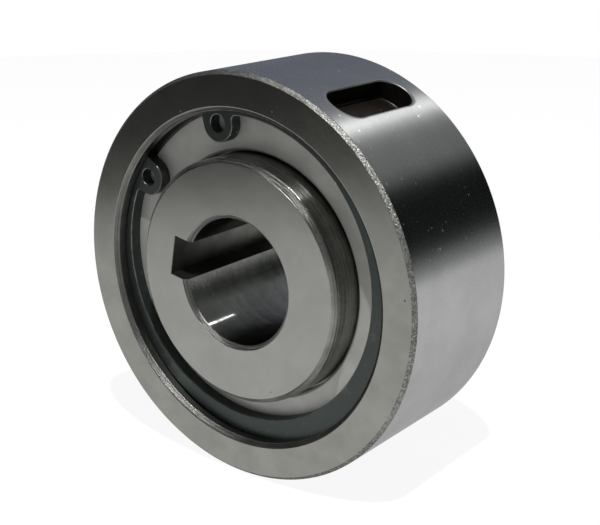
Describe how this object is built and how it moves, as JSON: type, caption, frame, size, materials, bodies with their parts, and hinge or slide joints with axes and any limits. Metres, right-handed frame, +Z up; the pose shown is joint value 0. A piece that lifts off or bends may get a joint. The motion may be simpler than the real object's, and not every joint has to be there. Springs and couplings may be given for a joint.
{
  "type": "one-way clutch",
  "caption": "Round sprag-type one-way clutch: keyed inner ring and keyed outer ring, closed each side by an end cover and a circlip, with caged sprags and rollers inside.",
  "frame": {"origin": "on the clutch axis at the middle of the width, which is the middle of the shaft bore", "axes": "+Y is the clutch axis, from the front face to the rear face; +Z is up and +X to the right as seen from the front"},
  "size_m": [0.08, 0.034, 0.08],
  "materials": {
    "outer_ring_steel": "ground bearing steel, finely scratched, with worn edge breaks",
    "inner_ring_steel": "ground bearing steel with a rough turned edge break",
    "cover_steel": "turned and ground steel",
    "circlip_steel": "black phosphated spring steel, lightly oiled",
    "cage_steel": "dull machined steel",
    "sprag_steel": "polished bearing steel on the cams, drawn finish on the flanks",
    "roller_steel": "lapped bearing steel",
    "garter_spring_steel": "oil-tempered spring wire"
  },
  "bodies": {
    "inner": {"inner_ring": "inner_ring_steel"},
    "outer": {"outer_ring": "outer_ring_steel", "front_cover": "cover_steel", "rear_cover": "cover_steel", "front_circlip": "circlip_steel", "rear_circlip": "circlip_steel"},
    "cage": {"sprag_cage": "cage_steel", "front_garter_spring": "garter_spring_steel", "rear_garter_spring": "garter_spring_steel"},
    "roller_01": {"roller_01": "roller_steel"},
    "roller_02": {"roller_02": "roller_steel"},
    "roller_03": {"roller_03": "roller_steel"},
    "roller_04": {"roller_04": "roller_steel"},
    "roller_05": {"roller_05": "roller_steel"},
    "roller_06": {"roller_06": "roller_steel"},
    "sprag_01": {"sprag_01": "sprag_steel"},
    "sprag_02": {"sprag_02": "sprag_steel"},
    "sprag_03": {"sprag_03": "sprag_steel"},
    "sprag_04": {"sprag_04": "sprag_steel"},
    "sprag_05": {"sprag_05": "sprag_steel"},
    "sprag_06": {"sprag_06": "sprag_steel"},
    "sprag_07": {"sprag_07": "sprag_steel"},
    "sprag_08": {"sprag_08": "sprag_steel"},
    "sprag_09": {"sprag_09": "sprag_steel"},
    "sprag_10": {"sprag_10": "sprag_steel"},
    "sprag_11": {"sprag_11": "sprag_steel"},
    "sprag_12": {"sprag_12": "sprag_steel"},
    "sprag_13": {"sprag_13": "sprag_steel"},
    "sprag_14": {"sprag_14": "sprag_steel"},
    "sprag_15": {"sprag_15": "sprag_steel"},
    "sprag_16": {"sprag_16": "sprag_steel"},
    "sprag_17": {"sprag_17": "sprag_steel"},
    "sprag_18": {"sprag_18": "sprag_steel"}
  },
  "joints": [
    {"name": "outer_spin", "type": "hinge", "parent": "inner", "child": "outer", "pos_m": [0, 0, 0], "axis": [0, 1, 0], "continuous": true},
    {"name": "cage_orbit", "type": "hinge", "parent": "inner", "child": "cage", "pos_m": [0, 0, 0], "axis": [0, 1, 0], "continuous": true},
    {"name": "roller_01_spin", "type": "hinge", "parent": "cage", "child": "roller_01", "pos_m": [0, 0, 0.028], "axis": [0, 1, 0], "continuous": true},
    {"name": "roller_02_spin", "type": "hinge", "parent": "cage", "child": "roller_02", "pos_m": [0.02425, 0, 0.014], "axis": [0, 1, 0], "continuous": true},
    {"name": "roller_03_spin", "type": "hinge", "parent": "cage", "child": "roller_03", "pos_m": [0.02425, 0, -0.014], "axis": [0, 1, 0], "continuous": true},
    {"name": "roller_04_spin", "type": "hinge", "parent": "cage", "child": "roller_04", "pos_m": [0, 0, -0.028], "axis": [0, 1, 0], "continuous": true},
    {"name": "roller_05_spin", "type": "hinge", "parent": "cage", "child": "roller_05", "pos_m": [-0.02425, 0, -0.014], "axis": [0, 1, 0], "continuous": true},
    {"name": "roller_06_spin", "type": "hinge", "parent": "cage", "child": "roller_06", "pos_m": [-0.02425, 0, 0.014], "axis": [0, 1, 0], "continuous": true},
    {"name": "sprag_01_rock", "type": "hinge", "parent": "cage", "child": "sprag_01", "pos_m": [0.0074, 0, 0.027], "axis": [0, 1, 0], "range_deg": [0, 5], "stiffness_Nm_per_rad": 0.01, "springref_deg": -5.73},
    {"name": "sprag_02_rock", "type": "hinge", "parent": "cage", "child": "sprag_02", "pos_m": [0.01414, 0, 0.02417], "axis": [0, 1, 0], "range_deg": [0, 5]},
    {"name": "sprag_03_rock", "type": "hinge", "parent": "cage", "child": "sprag_03", "pos_m": [0.01991, 0, 0.01968], "axis": [0, 1, 0], "range_deg": [0, 5]},
    {"name": "sprag_04_rock", "type": "hinge", "parent": "cage", "child": "sprag_04", "pos_m": [0.02709, 0, 0.00709], "axis": [0, 1, 0], "range_deg": [0, 5]},
    {"name": "sprag_05_rock", "type": "hinge", "parent": "cage", "child": "sprag_05", "pos_m": [0.028, 0, -0.00016], "axis": [0, 1, 0], "range_deg": [0, 5]},
    {"name": "sprag_06_rock", "type": "hinge", "parent": "cage", "child": "sprag_06", "pos_m": [0.027, 0, -0.0074], "axis": [0, 1, 0], "range_deg": [0, 5]},
    {"name": "sprag_07_rock", "type": "hinge", "parent": "cage", "child": "sprag_07", "pos_m": [0.01968, 0, -0.01991], "axis": [0, 1, 0], "range_deg": [0, 5]},
    {"name": "sprag_08_rock", "type": "hinge", "parent": "cage", "child": "sprag_08", "pos_m": [0.01386, 0, -0.02433], "axis": [0, 1, 0], "range_deg": [0, 5]},
    {"name": "sprag_09_rock", "type": "hinge", "parent": "cage", "child": "sprag_09", "pos_m": [0.00709, 0, -0.02709], "axis": [0, 1, 0], "range_deg": [0, 5]},
    {"name": "sprag_10_rock", "type": "hinge", "parent": "cage", "child": "sprag_10", "pos_m": [-0.0074, 0, -0.027], "axis": [0, 1, 0], "range_deg": [0, 5]},
    {"name": "sprag_11_rock", "type": "hinge", "parent": "cage", "child": "sprag_11", "pos_m": [-0.01414, 0, -0.02417], "axis": [0, 1, 0], "range_deg": [0, 5]},
    {"name": "sprag_12_rock", "type": "hinge", "parent": "cage", "child": "sprag_12", "pos_m": [-0.01991, 0, -0.01968], "axis": [0, 1, 0], "range_deg": [0, 5]},
    {"name": "sprag_13_rock", "type": "hinge", "parent": "cage", "child": "sprag_13", "pos_m": [-0.02709, 0, -0.00709], "axis": [0, 1, 0], "range_deg": [0, 5]},
    {"name": "sprag_14_rock", "type": "hinge", "parent": "cage", "child": "sprag_14", "pos_m": [-0.028, 0, 0.00016], "axis": [0, 1, 0], "range_deg": [0, 5]},
    {"name": "sprag_15_rock", "type": "hinge", "parent": "cage", "child": "sprag_15", "pos_m": [-0.027, 0, 0.0074], "axis": [0, 1, 0], "range_deg": [0, 5]},
    {"name": "sprag_16_rock", "type": "hinge", "parent": "cage", "child": "sprag_16", "pos_m": [-0.01968, 0, 0.01991], "axis": [0, 1, 0], "range_deg": [0, 5]},
    {"name": "sprag_17_rock", "type": "hinge", "parent": "cage", "child": "sprag_17", "pos_m": [-0.01386, 0, 0.02433], "axis": [0, 1, 0], "range_deg": [0, 5]},
    {"name": "sprag_18_rock", "type": "hinge", "parent": "cage", "child": "sprag_18", "pos_m": [-0.00709, 0, 0.02709], "axis": [0, 1, 0], "range_deg": [0, 5]}
  ],
  "couplings": [
    {"joint": "cage_orbit", "follows": "outer_spin", "ratio": 0.55357},
    {"joint": "roller_01_spin", "follows": "outer_spin", "ratio": 4.6913},
    {"joint": "roller_02_spin", "follows": "outer_spin", "ratio": 4.6913},
    {"joint": "roller_03_spin", "follows": "outer_spin", "ratio": 4.6913},
    {"joint": "roller_04_spin", "follows": "outer_spin", "ratio": 4.6913},
    {"joint": "roller_05_spin", "follows": "outer_spin", "ratio": 4.6913},
    {"joint": "roller_06_spin", "follows": "outer_spin", "ratio": 4.6913},
    {"joint": "sprag_02_rock", "follows": "sprag_01_rock", "ratio": 1},
    {"joint": "sprag_03_rock", "follows": "sprag_01_rock", "ratio": 1},
    {"joint": "sprag_04_rock", "follows": "sprag_01_rock", "ratio": 1},
    {"joint": "sprag_05_rock", "follows": "sprag_01_rock", "ratio": 1},
    {"joint": "sprag_06_rock", "follows": "sprag_01_rock", "ratio": 1},
    {"joint": "sprag_07_rock", "follows": "sprag_01_rock", "ratio": 1},
    {"joint": "sprag_08_rock", "follows": "sprag_01_rock", "ratio": 1},
    {"joint": "sprag_09_rock", "follows": "sprag_01_rock", "ratio": 1},
    {"joint": "sprag_10_rock", "follows": "sprag_01_rock", "ratio": 1},
    {"joint": "sprag_11_rock", "follows": "sprag_01_rock", "ratio": 1},
    {"joint": "sprag_12_rock", "follows": "sprag_01_rock", "ratio": 1},
    {"joint": "sprag_13_rock", "follows": "sprag_01_rock", "ratio": 1},
    {"joint": "sprag_14_rock", "follows": "sprag_01_rock", "ratio": 1},
    {"joint": "sprag_15_rock", "follows": "sprag_01_rock", "ratio": 1},
    {"joint": "sprag_16_rock", "follows": "sprag_01_rock", "ratio": 1},
    {"joint": "sprag_17_rock", "follows": "sprag_01_rock", "ratio": 1},
    {"joint": "sprag_18_rock", "follows": "sprag_01_rock", "ratio": 1}
  ]
}
